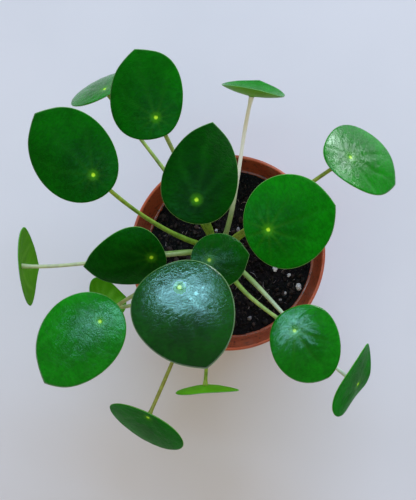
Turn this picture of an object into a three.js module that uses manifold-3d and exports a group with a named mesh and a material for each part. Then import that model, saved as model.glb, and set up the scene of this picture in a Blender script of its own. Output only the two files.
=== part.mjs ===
// A potted Chinese money plant (Pilea peperomioides): one upright stem, seventeen round leaves on
// long stalks, and a terracotta-coloured plastic nursery pot filled with soil.
// Millimetres, +Z up. The pot stands on z = 0 with its axis on the Z axis.
import * as THREE from "three";
import { mergeVertices } from "three/addons/utils/BufferGeometryUtils.js";
import Module from "manifold-3d";

const wasm = await Module();
wasm.setup();

const DEG = Math.PI / 180;
const GAP = 0.3; // clearance left between pieces that touch on the real plant
const NAVEL_GAP = 0.65; // the same under a navel, where the blade curves down beside the stalk

// ---- Driving dimensions ----------------------------------------------------------------------

const POT = {
  height: 95,
  rimRadius: 60, // outside of the rolled lip
  lipHeight: 3,
  lipOverhang: 1, // how far the lip stands out from the collar
  collarHeight: 19,
  wall: 1.6,
  ledgeWidth: 1.7, // inner step at the foot of the collar
  collarTaper: 2.6, // loss of radius from the lip to the foot of the collar
  collarStep: 2.2, // outer step under the collar
  baseRadius: 42,
  baseThickness: 2.4,
  sides: 60,
  drainHoles: 8,
  drainHoleRadius: 4,
  drainHoleCircle: 27,
};

const SOIL = {
  top: 75.2, // mean height of the surface
  stemHoleRadius: 5.8,
  stemHoleFloor: 52,
  sides: 60,
  rings: 11,
};

const STEM = {
  x: -5,
  y: 1,
  foot: 53, // buried end
  top: 128, // where the bud starts
  radius: 4.1,
  scarSpacing: 6.5, // leaf scars follow each other up the stem
  scarRelief: 0.3,
  budLength: 7,
  sides: 14,
  step: 3.2,
};

const BLADE = {
  thickness: 1,
  sectors: 32,
  rings: [0.42, 0.78, 1],
  tipSpread: 0.5, // angle on each side of the tip over which the margin runs out into the point
};

const STALK = {
  footRadius: 1.9,
  endRadius: 1.25,
  sides: 8,
  steps: 12,
};

// One entry for each leaf.
//   navel    where the stalk meets the blade, on the blade's middle surface
//   length   blade length, tip included; base: the part of it behind the navel
//   left, right   half widths of the blade, seen from the stalk towards the tip
//   tip      how far the point stands out
//   taper    of the left and the right half: narrowing towards the tip (+) or the base (-)
//   heading  where the tip points, in degrees from +X
//   pitch    degrees that the tip hangs down; roll: degrees that the left half is lifted
//   dome     rise of the middle over the rim; fold: drop of both sides along the midrib
//   wave     [height, number, phase] of the wave of the margin
//   stalk    height on the stem, lift in degrees where it leaves the stem, bow to the left
//            in mm after one and two thirds of its way, and the share of the blade's own
//            normal in the direction in which it meets the blade
const LEAVES = [
  {
    navel: [-30.6, 69, 160],
    length: 52.5, base: 10.5, left: 23, right: 19, tip: 2.5, taper: [0.14, -0.12],
    heading: 109, pitch: 5, roll: -5, dome: 3.5, fold: 0, wave: [0.5, 3, 0],
    stalk: { height: 104, lift: 50, bow: [-1.5, 0.5], meet: 0.35 },
  },
  {
    navel: [-62, 38, 168],
    length: 61, base: 11.5, left: 23.5, right: 21, tip: 3, taper: [0.03, 0],
    heading: 135, pitch: 4, roll: -4, dome: 4, fold: 0, wave: [0.5, 3, 1],
    stalk: { height: 99, lift: 60, bow: [8, 4], meet: 0.35 },
  },
  {
    navel: [-71, 97.5, 115],
    length: 42, base: 8.5, left: 24.5, right: 18, tip: 1, taper: [-0.1, 0],
    heading: 116, pitch: 55, roll: 0, dome: 3, fold: 0, wave: [0.6, 2, 0],
    stalk: { height: 86, lift: 40, bow: [-5, 1], meet: 0.3 },
  },
  {
    navel: [-5.5, 22.5, 185],
    length: 53, base: 11.5, left: 19, right: 18, tip: 2.5, taper: [0.22, 0.18],
    heading: 80, pitch: 8, roll: 4, dome: 4, fold: 0, wave: [0.5, 3, 0],
    stalk: { height: 117, lift: 60, bow: [0, 0], meet: 0.3 },
  },
  {
    navel: [17.5, 89.5, 120],
    length: 37, base: 12, left: 19.3, right: 18.5, tip: 1.5, taper: [0, 0],
    heading: 77, pitch: 68, roll: 0, dome: -4.5, fold: 0, wave: [1.5, 2, 1.6],
    stalk: { height: 84, lift: 35, bow: [-5.5, 3], meet: 0.3 },
  },
  {
    navel: [72, 50, 135],
    length: 48, base: 16.2, left: 26.2, right: 17, tip: 1.5, taper: [0, 0],
    heading: -26, pitch: 21, roll: -33, dome: 2, fold: 0, wave: [0.8, 3, 0],
    stalk: { height: 96, lift: 45, bow: [-3, 4.5], meet: 0.3 },
  },
  {
    navel: [28.7, 8.3, 175],
    length: 48, base: 11.5, left: 24, right: 22.5, tip: 1.5, taper: [0, 0.12],
    heading: 20, pitch: 8, roll: 6, dome: 3.5, fold: 0, wave: [0.4, 3, 0],
    stalk: { height: 112, lift: 50, bow: [6, 6], meet: 0.3 },
  },
  {
    navel: [-124.5, -8.5, 110],
    length: 52, base: 11, left: 25, right: 23.2, tip: 3, taper: [0, 0.35],
    heading: 182, pitch: 82, roll: -1, dome: 2.6, fold: 0, wave: [0.8, 2, 0],
    stalk: { height: 84, lift: 34, bow: [-4, 6], meet: 0.3 },
  },
  {
    navel: [-34.9, -4.5, 150],
    length: 49, base: 7.5, left: 17, right: 18, tip: 2.5, taper: [0.14, 0.4],
    heading: 189, pitch: 8, roll: -34, dome: 4, fold: 0, wave: [0.5, 3, 0],
    stalk: { height: 119, lift: 45, bow: [0.5, 3.5], meet: 0.5 },
  },
  {
    navel: [-71.5, -33.5, 105],
    length: 32, base: 14, left: 8.5, right: 19.5, tip: 1, taper: [0, 0],
    heading: 220, pitch: 113, roll: 10, dome: 3, fold: 0, wave: [0.4, 3, 0],
    stalk: { height: 93, lift: 45, bow: [4, 14], meet: 0.5 },
  },
  {
    navel: [-65.4, -39.6, 142],
    length: 63.2, base: 13.2, left: 20.5, right: 26, tip: 2.5, taper: [0.1, 0.03],
    heading: 226, pitch: 4, roll: 3, dome: 4, fold: 0, wave: [0.5, 3, 0],
    stalk: { height: 107, lift: 42, bow: [2, -9], meet: 0.5 },
  },
  {
    navel: [-3.5, -6, 150],
    length: 32, base: 10, left: 14, right: 15.5, tip: 1.5, taper: [0.05, 0.05],
    heading: 8, pitch: 8, roll: 0, dome: 2.5, fold: 1, wave: [0.4, 3, 0],
    stalk: { height: 125, lift: 55, bow: [0, 0], meet: 0.5 },
  },
  {
    navel: [-13.8, -19.8, 185],
    length: 55.5, base: 12.5, left: 23, right: 28, tip: 2, taper: [0.12, 0.18],
    heading: -73, pitch: 6, roll: 0, dome: 5, fold: 0, wave: [0.4, 3, 0],
    stalk: { height: 121, lift: 60, bow: [-7, -7], meet: 0.3 },
  },
  {
    navel: [-46, -99.2, 105],
    length: 48.5, base: 5, left: 26.5, right: 25.5, tip: 1, taper: [0, 0.05],
    heading: 241, pitch: 55, roll: -3, dome: 2, fold: 0, wave: [0.6, 2, 0],
    stalk: { height: 88, lift: 40, bow: [1.5, 0], meet: 0.3 },
  },
  {
    navel: [-12, -81, 100],
    length: 36, base: 13, left: 20, right: 19, tip: 1, taper: [0, 0],
    heading: 273, pitch: 87, roll: 0, dome: -2.5, fold: -1.2, wave: [0.5, 2, 0],
    stalk: { height: 97, lift: 30, bow: [0.5, 0.5], meet: 0.3 },
  },
  {
    navel: [41.4, -45.5, 120],
    length: 46, base: 12, left: 21.5, right: 19.5, tip: 0.5, taper: [0.2, -0.05],
    heading: -54, pitch: 7, roll: -4, dome: 4, fold: -1, wave: [0.6, 3, 0],
    stalk: { height: 101, lift: 28, bow: [-11, 1.5], meet: 0.6 },
  },
  {
    navel: [78.5, -78.5, 95],
    length: 37.5, base: 23, left: 22.5, right: 22, tip: 1, taper: [0.4, 0.2],
    heading: -36, pitch: 63, roll: -10, dome: 1, fold: 0, wave: [1.2, 3, 0],
    stalk: { height: 90, lift: 32, bow: [5, -4.5], meet: 0.3 },
  },
];

const COLOURS = {
  pot: 0x9a4b30,
  soil: 0x1d1412,
  stem: 0x6b5a33,
  blade: 0x14601c,
  stalk: 0x86a548,
};

// ---- Mesh helpers ----------------------------------------------------------------------------

// Closed surface through rings of points: each ring has the same number of points, turning
// counter-clockwise about the way the rings advance. A ring of one point closes an end.
function skinOfRings(rings) {
  const positions = [];
  const index = [];
  const starts = [];
  for (const ring of rings) {
    starts.push(positions.length / 3);
    for (const p of ring) positions.push(p.x, p.y, p.z);
  }
  for (let k = 0; k + 1 < rings.length; k++) {
    const a = starts[k];
    const b = starts[k + 1];
    const count = Math.max(rings[k].length, rings[k + 1].length);
    for (let i = 0; i < count; i++) {
      const j = (i + 1) % count;
      if (rings[k].length === 1) index.push(a, b + j, b + i);
      else if (rings[k + 1].length === 1) index.push(a + i, a + j, b);
      else index.push(a + i, a + j, b + j, a + i, b + j, b + i);
    }
  }
  const geometry = new THREE.BufferGeometry();
  geometry.setAttribute("position", new THREE.Float32BufferAttribute(positions, 3));
  geometry.setIndex(index);
  geometry.computeVertexNormals();
  return geometry;
}

function solidOf(geometry) {
  const bare = geometry.clone();
  bare.deleteAttribute("normal");
  bare.deleteAttribute("uv");
  const merged = mergeVertices(bare, 1e-4);
  return new wasm.Manifold(
    new wasm.Mesh({
      numProp: 3,
      vertProperties: merged.attributes.position.array,
      triVerts: new Uint32Array(merged.index.array),
    }),
  );
}

function geometryOf(solid) {
  const mesh = solid.getMesh();
  const geometry = new THREE.BufferGeometry();
  geometry.setAttribute("position", new THREE.BufferAttribute(mesh.vertProperties, 3));
  geometry.setIndex(new THREE.BufferAttribute(mesh.triVerts, 1));
  geometry.computeVertexNormals();
  return geometry;
}

function addPiece(group, name, geometry, colour, roughness) {
  const material = new THREE.MeshStandardMaterial({ color: colour, roughness, metalness: 0 });
  const mesh = new THREE.Mesh(geometry, material);
  mesh.name = name;
  group.add(mesh);
  return mesh;
}

// ---- Pot -------------------------------------------------------------------------------------

const collarFoot = POT.height - POT.collarHeight;
const collarInnerTop = POT.rimRadius - POT.lipOverhang - POT.wall * 0.6;
const ledgeOuter = collarInnerTop - POT.collarTaper - POT.wall;
const bodyInnerTop = ledgeOuter - POT.ledgeWidth;
const bodyInnerBase = POT.baseRadius - POT.wall;

// Inside radius of the pot below the ledge.
function bodyInnerRadius(z) {
  const share = (z - POT.baseThickness) / (collarFoot - 1 - POT.baseThickness);
  return bodyInnerBase + share * (bodyInnerTop - bodyInnerBase);
}

function makePot() {
  const lipOuter = POT.rimRadius;
  const collarOuterTop = lipOuter - POT.lipOverhang;
  const collarOuterFoot = collarOuterTop - POT.collarTaper;
  const bodyOuterTop = collarOuterFoot - POT.collarStep;
  const lipFoot = POT.height - POT.lipHeight;
  const profile = [
    [0, 0],
    [POT.baseRadius - 1.2, 0],
    [POT.baseRadius, 1.2],
    [bodyOuterTop, collarFoot - 1.4],
    [collarOuterFoot, collarFoot - 0.6],
    [collarOuterTop, lipFoot - 0.6],
    [lipOuter - 0.3, lipFoot],
    [lipOuter, lipFoot + POT.lipHeight * 0.5],
    [lipOuter - 0.5, POT.height - 0.4],
    [lipOuter - 1.3, POT.height],
    [collarInnerTop + 0.4, POT.height - 0.3],
    [collarInnerTop, POT.height - 1.2],
    [ledgeOuter, collarFoot + 0.6],
    [ledgeOuter - 0.5, collarFoot],
    [bodyInnerTop, collarFoot - 1],
    [bodyInnerBase, POT.baseThickness],
    [0, POT.baseThickness],
  ].map(([r, z]) => new THREE.Vector2(r, z));
  const shell = new THREE.LatheGeometry(profile, POT.sides);
  shell.rotateX(Math.PI / 2);
  let solid = solidOf(shell);
  const drill = new THREE.CylinderGeometry(POT.drainHoleRadius, POT.drainHoleRadius, 10, 16);
  drill.rotateX(Math.PI / 2);
  for (let i = 0; i < POT.drainHoles; i++) {
    const angle = ((i + 0.5) * 2 * Math.PI) / POT.drainHoles;
    const hole = drill.clone();
    hole.translate(
      POT.drainHoleCircle * Math.cos(angle),
      POT.drainHoleCircle * Math.sin(angle),
      0,
    );
    solid = solid.subtract(solidOf(hole));
  }
  return geometryOf(solid);
}

// ---- Soil ------------------------------------------------------------------------------------

// Crumbs and hollows of the surface, fading out at the wall and at the stem.
function soilRelief(x, y) {
  const mounds = 0.8 * Math.sin(0.11 * x + 1.2) * Math.cos(0.13 * y - 0.4);
  const clods = 0.55 * Math.sin(0.43 * x + 0.21 * y) * Math.sin(0.39 * y - 0.17 * x + 0.9);
  const crumbs = 0.3 * Math.sin(1.07 * x - 0.6 * y + 2) * Math.sin(0.95 * y + 0.5 * x);
  return mounds + clods + crumbs;
}

function makeSoil() {
  const wallGap = GAP;
  const topRadius = bodyInnerRadius(SOIL.top) - wallGap;
  const bottom = POT.baseThickness + wallGap;
  const bottomRadius = bodyInnerRadius(bottom) - wallGap;
  const circle = (cx, cy, radius, z) =>
    Array.from({ length: SOIL.sides }, (_, i) => {
      const angle = (i * 2 * Math.PI) / SOIL.sides;
      const x = cx + radius * Math.cos(angle);
      const y = cy + radius * Math.sin(angle);
      return new THREE.Vector3(x, y, z);
    });
  const rings = [
    [new THREE.Vector3(0, 0, bottom)],
    circle(0, 0, bottomRadius, bottom),
    circle(0, 0, bodyInnerRadius(SOIL.top - 1) - wallGap, SOIL.top - 1),
  ];
  for (let k = SOIL.rings; k >= 0; k--) {
    const share = k / SOIL.rings;
    const radius = SOIL.stemHoleRadius + share * (topRadius - SOIL.stemHoleRadius);
    const ring = circle(STEM.x * (1 - share), STEM.y * (1 - share), radius, SOIL.top);
    const fade = Math.min(1, 4 * share * (1 - share) + 0.25);
    for (const p of ring) p.z += fade * soilRelief(p.x, p.y);
    rings.push(ring);
  }
  rings.push(circle(STEM.x, STEM.y, SOIL.stemHoleRadius, SOIL.stemHoleFloor));
  rings.push([new THREE.Vector3(STEM.x, STEM.y, SOIL.stemHoleFloor)]);
  return skinOfRings(rings);
}

// ---- Stem ------------------------------------------------------------------------------------

function stemAxis(z) {
  const bend = Math.sin((z - STEM.foot) / 17);
  return new THREE.Vector3(STEM.x + 0.45 * bend, STEM.y - 0.3 * bend, z);
}

function stemRadius(z) {
  const scar = Math.cos((2 * Math.PI * z) / STEM.scarSpacing);
  return STEM.radius + STEM.scarRelief * scar;
}

function makeStem() {
  const ringAt = (z, radius) => {
    const centre = stemAxis(z);
    return Array.from({ length: STEM.sides }, (_, i) => {
      const angle = (i * 2 * Math.PI) / STEM.sides;
      return new THREE.Vector3(
        centre.x + radius * Math.cos(angle),
        centre.y + radius * Math.sin(angle),
        z,
      );
    });
  };
  const rings = [[stemAxis(STEM.foot)]];
  const steps = Math.round((STEM.top - STEM.foot) / STEM.step);
  for (let k = 0; k <= steps; k++) {
    const z = STEM.foot + (k * (STEM.top - STEM.foot)) / steps;
    rings.push(ringAt(z, stemRadius(z)));
  }
  const budSteps = 5;
  for (let k = 1; k < budSteps; k++) {
    const share = k / budSteps;
    const radius = STEM.radius * 0.8 * Math.sqrt(1 - share * share);
    rings.push(ringAt(STEM.top + share * STEM.budLength, radius));
  }
  rings.push([stemAxis(STEM.top + STEM.budLength)]);
  return skinOfRings(rings);
}

// ---- Leaf ------------------------------------------------------------------------------------

// A point of the blade's middle surface in the leaf's own frame: x from the navel towards the
// tip, y to the left, z up. rho runs from 0 at the navel to 1 at the margin, t turns about it.
function bladePoint(leaf, rho, t) {
  const halfLength = (leaf.length - leaf.tip) / 2;
  const centre = halfLength - leaf.base;
  const cos = Math.cos(t);
  const sin = Math.sin(t);
  const side = sin >= 0 ? leaf.left : leaf.right;
  const taper = sin >= 0 ? leaf.taper[0] : leaf.taper[1];
  const fromTip = Math.abs(Math.atan2(sin, cos));
  const point = leaf.tip * Math.max(0, 1 - fromTip / BLADE.tipSpread) ** 2;
  const u = rho * (centre + halfLength * cos + rho * point);
  const v = rho * side * sin * (1 - taper * cos);
  const halfWidth = (leaf.left + leaf.right) / 2;
  const middle = (leaf.left - leaf.right) / 2;
  const bowl = (x, y) => ((x - centre) / halfLength) ** 2 + ((y - middle) / halfWidth) ** 2;
  const soft = 0.12 * halfWidth;
  const dome = leaf.dome * (bowl(0, 0) - bowl(u, v));
  const fold = (-leaf.fold * (Math.hypot(v, soft) - soft)) / halfWidth;
  const [height, number, phase] = leaf.wave;
  const wave = height * rho * rho * Math.sin(number * t + phase);
  return new THREE.Vector3(u, v, dome + fold + wave);
}

function leafTurn(leaf) {
  const euler = new THREE.Euler(leaf.roll * DEG, leaf.pitch * DEG, leaf.heading * DEG, "ZYX");
  return new THREE.Quaternion().setFromEuler(euler);
}

// Both faces are split into triangles alike, half the thickness above and below the middle.
function makeBlade(leaf) {
  const { sectors, rings, thickness } = BLADE;
  const positions = [];
  for (const side of [-1, 1]) {
    const lift = (side * thickness) / 2;
    positions.push(0, 0, lift);
    for (const rho of rings)
      for (let i = 0; i < sectors; i++) {
        const p = bladePoint(leaf, rho, (i * 2 * Math.PI) / sectors);
        positions.push(p.x, p.y, p.z + lift);
      }
  }
  const faceSize = 1 + rings.length * sectors;
  const ringVertex = (k, i) => 1 + k * sectors + (i % sectors);
  const index = [];
  const addBothFaces = (a, b, c) => {
    index.push(a + faceSize, b + faceSize, c + faceSize);
    index.push(a, c, b);
  };
  const rim = rings.length - 1;
  for (let i = 0; i < sectors; i++) {
    addBothFaces(0, ringVertex(0, i), ringVertex(0, i + 1));
    for (let k = 0; k < rim; k++) {
      addBothFaces(ringVertex(k, i), ringVertex(k + 1, i), ringVertex(k + 1, i + 1));
      addBothFaces(ringVertex(k, i), ringVertex(k + 1, i + 1), ringVertex(k, i + 1));
    }
    const lowA = ringVertex(rim, i);
    const lowB = ringVertex(rim, i + 1);
    index.push(lowA, lowB, lowB + faceSize, lowA, lowB + faceSize, lowA + faceSize);
  }
  const geometry = new THREE.BufferGeometry();
  geometry.setAttribute("position", new THREE.Float32BufferAttribute(positions, 3));
  geometry.setIndex(index);
  geometry.computeVertexNormals();
  return geometry;
}

// The stalk is a cubic curve from the stem to just under the navel.
function stalkCurve(leaf) {
  const { height, lift, bow, meet } = leaf.stalk;
  const normal = new THREE.Vector3(0, 0, 1).applyQuaternion(leafTurn(leaf));
  const end = new THREE.Vector3(...leaf.navel);
  end.addScaledVector(normal, -(BLADE.thickness / 2 + NAVEL_GAP));
  const axis = stemAxis(height);
  const out = new THREE.Vector3(end.x - axis.x, end.y - axis.y, 0).normalize();
  const left = new THREE.Vector3(-out.y, out.x, 0);
  const foot = axis.clone().addScaledVector(out, STEM.radius + STEM.scarRelief + GAP);
  const reach = foot.distanceTo(end);
  const rise = new THREE.Vector3(out.x, out.y, Math.tan(lift * DEG)).normalize();
  const first = foot.clone().addScaledVector(rise, 0.35 * reach).addScaledVector(left, bow[0]);
  const chord = end.clone().sub(first).normalize();
  const arrival = chord.multiplyScalar(1 - meet).addScaledVector(normal, meet).normalize();
  const second = end.clone().addScaledVector(arrival, -0.3 * reach).addScaledVector(left, bow[1]);
  const curve = new THREE.CubicBezierCurve3(foot, first, second, end);
  return { curve, out, normal };
}

// Round section carried along the curve. The first section is cut upright, to lie against the
// stem, and the last one is cut parallel to the blade.
function makeStalk(leaf) {
  const { curve, out, normal } = stalkCurve(leaf);
  const across = new THREE.Vector3(-out.y, out.x, 0);
  const rings = [];
  for (let k = 0; k <= STALK.steps; k++) {
    const share = k / STALK.steps;
    const centre = curve.getPoint(share);
    const along = curve.getTangent(share);
    const up = along.clone().cross(across).negate().normalize();
    const side = up.clone().cross(along).normalize();
    const narrowed = Math.min(1, 2.5 * share);
    const radius = STALK.footRadius + (STALK.endRadius - STALK.footRadius) * narrowed;
    const cut = k === 0 ? out : k === STALK.steps ? normal : along;
    rings.push(
      Array.from({ length: STALK.sides }, (_, i) => {
        const angle = (i * 2 * Math.PI) / STALK.sides;
        const arm = side.clone().multiplyScalar(radius * Math.cos(angle));
        arm.addScaledVector(up, radius * Math.sin(angle));
        arm.addScaledVector(along, -arm.dot(cut) / along.dot(cut));
        return centre.clone().add(arm);
      }),
    );
  }
  const first = curve.getPoint(0);
  const last = curve.getPoint(1);
  return skinOfRings([[first], ...rings, [last]]);
}

// ---- Assembly --------------------------------------------------------------------------------

const plant = new THREE.Group();
addPiece(plant, "pot", makePot(), COLOURS.pot, 0.55);
addPiece(plant, "soil", makeSoil(), COLOURS.soil, 0.95);
addPiece(plant, "stem", makeStem(), COLOURS.stem, 0.7);
LEAVES.forEach((leaf, i) => {
  const name = "leaf_" + String(i + 1).padStart(2, "0");
  const blade = addPiece(plant, name + "_blade", makeBlade(leaf), COLOURS.blade, 0.3);
  blade.position.set(...leaf.navel);
  blade.quaternion.copy(leafTurn(leaf));
  addPiece(plant, name + "_stalk", makeStalk(leaf), COLOURS.stalk, 0.5);
});

export default plant;
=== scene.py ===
"""Looks of a potted Chinese money plant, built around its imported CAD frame.

Pieces are measured in millimetres until new_piece makes metres of them. The floor, the lamps and
the camera are in metres.
"""
import math
import random

import bpy
import numpy as np
from mathutils import Euler, Matrix, Vector


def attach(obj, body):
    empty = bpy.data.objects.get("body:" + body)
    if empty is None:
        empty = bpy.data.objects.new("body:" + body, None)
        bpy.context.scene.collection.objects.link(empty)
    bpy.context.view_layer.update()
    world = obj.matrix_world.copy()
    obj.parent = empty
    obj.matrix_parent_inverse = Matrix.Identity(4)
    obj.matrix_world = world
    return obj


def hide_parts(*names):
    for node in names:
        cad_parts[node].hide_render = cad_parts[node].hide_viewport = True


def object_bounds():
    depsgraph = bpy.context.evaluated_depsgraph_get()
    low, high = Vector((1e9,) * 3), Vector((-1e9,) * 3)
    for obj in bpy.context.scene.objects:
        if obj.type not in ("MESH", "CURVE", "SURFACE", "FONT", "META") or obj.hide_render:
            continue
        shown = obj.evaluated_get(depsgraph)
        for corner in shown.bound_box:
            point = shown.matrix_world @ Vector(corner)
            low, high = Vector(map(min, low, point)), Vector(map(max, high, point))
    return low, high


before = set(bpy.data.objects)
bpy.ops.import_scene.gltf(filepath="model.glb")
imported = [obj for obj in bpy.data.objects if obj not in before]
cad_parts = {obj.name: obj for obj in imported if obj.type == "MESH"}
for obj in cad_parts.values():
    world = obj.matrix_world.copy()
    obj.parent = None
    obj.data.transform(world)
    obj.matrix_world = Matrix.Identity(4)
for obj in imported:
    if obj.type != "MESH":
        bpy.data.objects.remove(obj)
cad_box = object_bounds()

MM = 0.001
ROOT = "root"
TAU = 2 * math.pi

# ---- Camera ------------------------------------------------------------------------------------

CAMERA_AT = Vector((0.041, -0.014, 0.517))
CAMERA_LOOKS_AT = Vector((-0.011, 0.0014, 0.095))
CAMERA_TOP = Vector((0, 1, 0))  # what points up in the picture
CAMERA_LENS = 50

# ---- Dimensions, in millimetres ----------------------------------------------------------------

POT = dict(
    height=95, rim=60, lip_height=3, lip_overhang=1, lip_round=1.25, collar=19, wall=1.6,
    ledge=1.7, collar_taper=2.6, collar_step=2.2, base=42, base_round=1.2, base_thickness=2.4,
    sides=168, holes=8, hole_radius=4, hole_circle=27,
)
SOIL_TOP = 75.2
SOIL_SIDES = 260
SOIL_RINGS = 80
STEM = dict(
    x=-5, y=1, foot=53, top=128, radius=4.1, lean=(0.45, -0.3), lean_length=17,
    scar_spacing=6.5, scar_relief=0.3, roughness=0.16, sides=40, step=0.6,
    bud=7, bud_width=0.78, bud_lobes=0.14, bud_steps=14,
)
STALK = dict(
    sides=14, steps=48, ripple=0.03, ripple_turns=23,
    channel=0.93,  # how far the upper side stands out, against 1 below
    foot_gap=0.3, foot_sunk=1.2,  # outside the stem's scars, and back into it
    end_inset=1.15, end_sunk=0.5,  # under the blade's middle surface, and up into it
    foot_reach=0.35, end_reach=0.3,  # the curve's two handles, as shares of its span
)
BLADE_HALF = 0.42  # half thickness of a blade
BLADE_SHRINK = 0.995  # keeps the smooth margin inside the faceted one
BLADE_CEILING = cad_box[1][2] / MM - 0.02  # no ripple stands above the CAD's highest blade
BLADE_SECTORS = 144
BLADE_RINGS = 36
RING_CROWDING = 0.92  # below 1, rings lie closer together toward the margin
EDGE_START = 0.965  # share of the radius at which the margin begins to round off
EDGE_WIDTH = 0.035
TIP_SPREAD = 0.5  # angle on each side of the tip over which the margin runs out into the point
FOLD_SOFTNESS = 0.12  # share of the half width over which the fold is rounded
UNDER_RELIEF = 0.6  # share of the upper face's relief that shows below
NAVEL_DIP = 0.45
NAVEL_RADIUS = 2

# The leaves, as in the CAD model: navel, length, base, left and right half widths, tip, tapers,
# heading, pitch, roll, dome, fold, wave, and the stalk's height, lift, two bows and share of the
# blade's normal. Then what only the looks need: tone (0 dark, 1 light), quilt (strength of the
# puckers between the veins), veins (depth of the sunk veins), sheen (one of SHEENS), and the
# stalk's brown and pale tints; the pale tint is partly painted light toward the blade.
LEAF_KEYS = (
    "navel", "length", "base", "left", "right", "tip", "taper", "heading", "pitch", "roll",
    "dome", "fold", "wave", "stalk", "tone", "quilt", "veins", "sheen", "brown", "pale",
)
LEAVES = [
    dict(zip(LEAF_KEYS, row))
    for row in (
        ((-30.6, 69, 160), 52.5, 10.5, 23, 19, 2.5, (0.14, -0.12), 109, 5, -5, 3.5, 0, (0.5, 3, 0),
         (104, 50, (-1.5, 0.5), 0.35), 0.3, 0.35, 0.25, "matt", 0.1, 0.1),
        ((-62, 38, 168), 61, 11.5, 23.5, 21, 3, (0.03, 0), 135, 4, -4, 4, 0, (0.5, 3, 1),
         (99, 60, (8, 4), 0.35), 0.25, 0.35, 0.2, "matt", 0, 0),
        ((-71, 97.5, 115), 42, 8.5, 24.5, 18, 1, (-0.1, 0), 116, 55, 0, 3, 0, (0.6, 2, 0),
         (86, 40, (-5, 1), 0.3), 0.8, 0.5, 0.5, "satin", 0.2, 0.05),
        ((-5.5, 22.5, 185), 53, 11.5, 19, 18, 2.5, (0.22, 0.18), 80, 8, 4, 4, 0, (0.5, 3, 0),
         (117, 60, (0, 0), 0.3), 0.03, 0.5, 0.05, "matt", 0, 0),
        ((17.5, 89.5, 120), 37, 12, 19.3, 18.5, 1.5, (0, 0), 77, 68, 0, -4.5, 0, (1.5, 2, 1.6),
         (84, 35, (-5.5, 3), 0.3), 0.9, 0.4, 0.3, "satin", 0, 1),
        ((72, 50, 135), 48, 16.2, 26.2, 17, 1.5, (0, 0), -26, 21, -33, 2, 0, (0.8, 3, 0),
         (96, 45, (-3, 4.5), 0.3), 0.9, 0.2, 0.6, "satin", 0.35, 0),
        ((28.7, 8.3, 175), 48, 11.5, 24, 22.5, 1.5, (0, 0.12), 20, 8, 6, 3.5, 0, (0.4, 3, 0),
         (112, 50, (6, 6), 0.3), 0.6, 0.6, 0.45, "matt", 0.6, 0),
        ((-124.5, -8.5, 110), 52, 11, 25, 23.2, 3, (0, 0.35), 182, 82, -1, 2.6, 0, (0.8, 2, 0),
         (84, 34, (-4, 6), 0.3), 0.6, 0.4, 0.3, "matt", 0, 0.4),
        ((-34.9, -4.5, 150), 49, 7.5, 17, 18, 2.5, (0.14, 0.4), 189, 8, -34, 4, 0, (0.5, 3, 0),
         (119, 45, (0.5, 3.5), 0.5), 0.15, 0.3, 0.2, "matt", 0.2, 0.2),
        ((-71.5, -33.5, 105), 32, 14, 8.5, 19.5, 1, (0, 0), 220, 113, 10, 3, 0, (0.4, 3, 0),
         (93, 45, (4, 14), 0.5), 0.35, 0.4, 0.3, "matt", 0.3, 0.2),
        ((-65.4, -39.6, 142), 63.2, 13.2, 20.5, 26, 2.5, (0.1, 0.03), 226, 4, 3, 4, 0, (0.5, 3, 0),
         (107, 42, (2, -9), 0.5), 0.85, 0.7, 0.3, "satin", 0.4, 0.2),
        ((-3.5, -6, 150), 32, 10, 14, 15.5, 1.5, (0.05, 0.05), 8, 8, 0, 2.5, 1, (0.4, 3, 0),
         (125, 55, (0, 0), 0.5), 0.3, 0.6, 0.4, "soft", 0.1, 0.1),
        ((-13.8, -19.8, 185), 55.5, 12.5, 23, 28, 2, (0.12, 0.18), -73, 6, 0, 5, 0, (0.4, 3, 0),
         (121, 60, (-7, -7), 0.3), 0.2, 0.3, 0.15, "glossy", 0.1, 0.3),
        ((-46, -99.2, 105), 48.5, 5, 26.5, 25.5, 1, (0, 0.05), 241, 55, -3, 2, 0, (0.6, 2, 0),
         (88, 40, (1.5, 0), 0.3), 0.6, 0.4, 0.2, "matt", 0.8, 0),
        ((-12, -81, 100), 36, 13, 20, 19, 1, (0, 0), 273, 87, 0, -2.5, -1.2, (0.5, 2, 0),
         (97, 30, (0.5, 0.5), 0.3), 0.95, 0.4, 0.3, "matt", 0, 0),
        ((41.4, -45.5, 120), 46, 12, 21.5, 19.5, 0.5, (0.2, -0.05), -54, 7, -4, 4, -1, (0.6, 3, 0),
         (101, 28, (-11, 1.5), 0.6), 0.78, 0.4, 0.85, "waxed", 0, 0.1),
        ((78.5, -78.5, 95), 37.5, 23, 22.5, 22, 1, (0.4, 0.2), -36, 63, -10, 1, 0, (1.2, 3, 0),
         (90, 32, (5, -4.5), 0.3), 0.7, 0.5, 0.4, "matt", 0.1, 0.7),
    )
]


# ---- Mesh helpers ------------------------------------------------------------------------------

def new_object(name, data):
    made = bpy.data.objects.new(name, data)
    bpy.context.scene.collection.objects.link(made)
    return made


def new_piece(name, verts, faces, material, replaces=(), smooth=True):
    """A mesh object in the row frame, verts in millimetres, riding on the one body."""
    mesh = bpy.data.meshes.new(name)
    mesh.from_pydata([tuple(v) for v in np.asarray(verts) * MM], [], faces)
    mesh.validate()
    mesh.polygons.foreach_set("use_smooth", [smooth] * len(mesh.polygons))
    mesh.materials.append(material)
    piece = new_object(name, mesh)
    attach(piece, ROOT)
    if replaces:
        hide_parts(*replaces)
    return piece


def set_attribute(piece, name, values):
    made = piece.data.attributes.new(name, "FLOAT", "POINT")
    made.data.foreach_set("value", np.asarray(values, np.float32).ravel())


def unit(vector):
    return vector / np.linalg.norm(vector)


def ramp(value, length):
    """From 0 to 1 as value goes from 0 to length."""
    return np.clip(value / length, 0, 1)


def bell(value, width):
    """1 where value is 0, and next to nothing beyond twice the width."""
    return np.exp(-((value / width) ** 2))


def round_angles(sides):
    return np.arange(sides) * TAU / sides


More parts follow.
